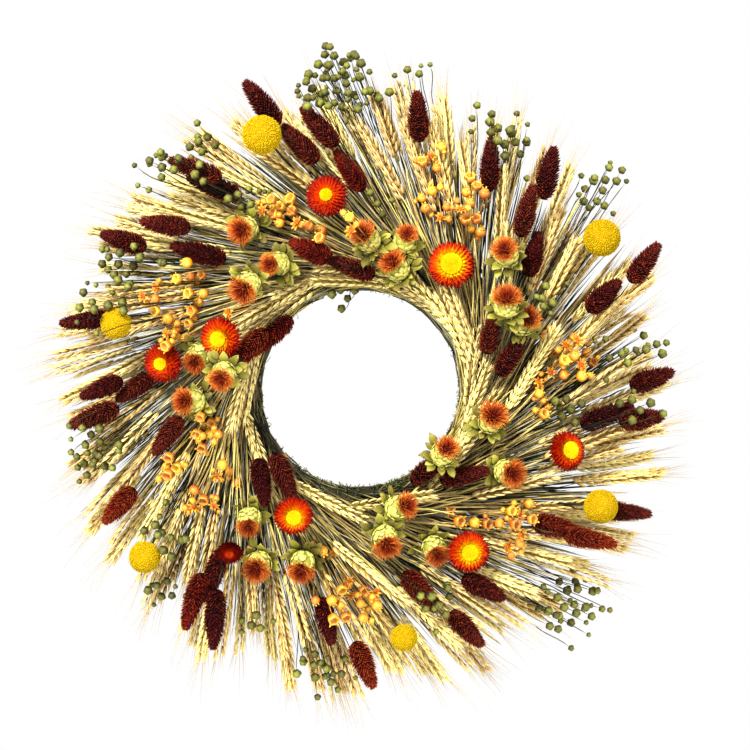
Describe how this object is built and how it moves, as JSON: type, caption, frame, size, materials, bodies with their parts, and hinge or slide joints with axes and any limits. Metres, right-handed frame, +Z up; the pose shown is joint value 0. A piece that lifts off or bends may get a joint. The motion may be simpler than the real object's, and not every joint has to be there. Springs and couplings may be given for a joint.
{
  "type": "harvest wreath",
  "caption": "Round door wreath of bearded wheat, canary grass, pods and dried flowers bound on a wire ring that hangs by a folding wire loop.",
  "frame": {"origin": "the hanging point, at the inside of the wire loop's top where a door hook bears", "axes": "+Z up, +X to the right seen from the front, the front faces -Y and the door is behind on +Y"},
  "size_m": [0.6269, 0.1413, 0.6304],
  "materials": {
    "steel_wire": "satin",
    "paddle_wire": "satin",
    "raffia": "matte",
    "moss_stems": "matte",
    "wheat_straw": "matte",
    "canary_grass": "matte",
    "safflower": "matte",
    "strawflower": "satin",
    "craspedia": "matte",
    "orange_pods": "satin",
    "flax_pods": "matte"
  },
  "bodies": {
    "ring": {"frame_hoop_1": "steel_wire", "frame_hoop_2": "steel_wire", "frame_hoop_3": "steel_wire", "frame_hoop_4": "steel_wire", "frame_cross_wires": "steel_wire", "stem_core": "moss_stems", "binding_wire": "paddle_wire", "raffia_tie": "raffia", "wheat_bunch_01": "wheat_straw", "wheat_bunch_02": "wheat_straw", "wheat_bunch_03": "wheat_straw", "wheat_bunch_04": "wheat_straw", "wheat_bunch_05": "wheat_straw", "wheat_bunch_06": "wheat_straw", "wheat_bunch_07": "wheat_straw", "wheat_bunch_08": "wheat_straw", "wheat_bunch_09": "wheat_straw", "wheat_bunch_10": "wheat_straw", "wheat_bunch_11": "wheat_straw", "wheat_bunch_12": "wheat_straw", "canary_grass_1": "canary_grass", "canary_grass_2": "canary_grass", "canary_grass_3": "canary_grass", "canary_grass_4": "canary_grass", "canary_grass_5": "canary_grass", "canary_grass_6": "canary_grass", "safflower_cluster_1": "safflower", "safflower_cluster_2": "safflower", "safflower_cluster_3": "safflower", "safflower_cluster_4": "safflower", "safflower_cluster_5": "safflower", "strawflower_1": "strawflower", "strawflower_2": "strawflower", "strawflower_3": "strawflower", "strawflower_4": "strawflower", "strawflower_5": "strawflower", "strawflower_6": "strawflower", "strawflower_7": "strawflower", "strawflower_8": "strawflower", "craspedia_1": "craspedia", "craspedia_2": "craspedia", "craspedia_3": "craspedia", "craspedia_4": "craspedia", "craspedia_5": "craspedia", "craspedia_6": "craspedia", "orange_pod_spray_1": "orange_pods", "orange_pod_spray_2": "orange_pods", "orange_pod_spray_3": "orange_pods", "orange_pod_spray_4": "orange_pods", "orange_pod_spray_5": "orange_pods", "orange_pod_spray_6": "orange_pods", "flax_spray_1": "flax_pods", "flax_spray_2": "flax_pods", "flax_spray_3": "flax_pods", "flax_spray_4": "flax_pods", "flax_spray_5": "flax_pods", "flax_spray_6": "flax_pods", "flax_spray_7": "flax_pods"},
    "hanger": {"hanging_loop": "steel_wire"}
  },
  "joints": [
    {"name": "hanger_fold", "type": "hinge", "parent": "ring", "child": "hanger", "pos_m": [0, 0, -0.026], "axis": [-1, 0, 0], "range_deg": [0, 170]}
  ]
}
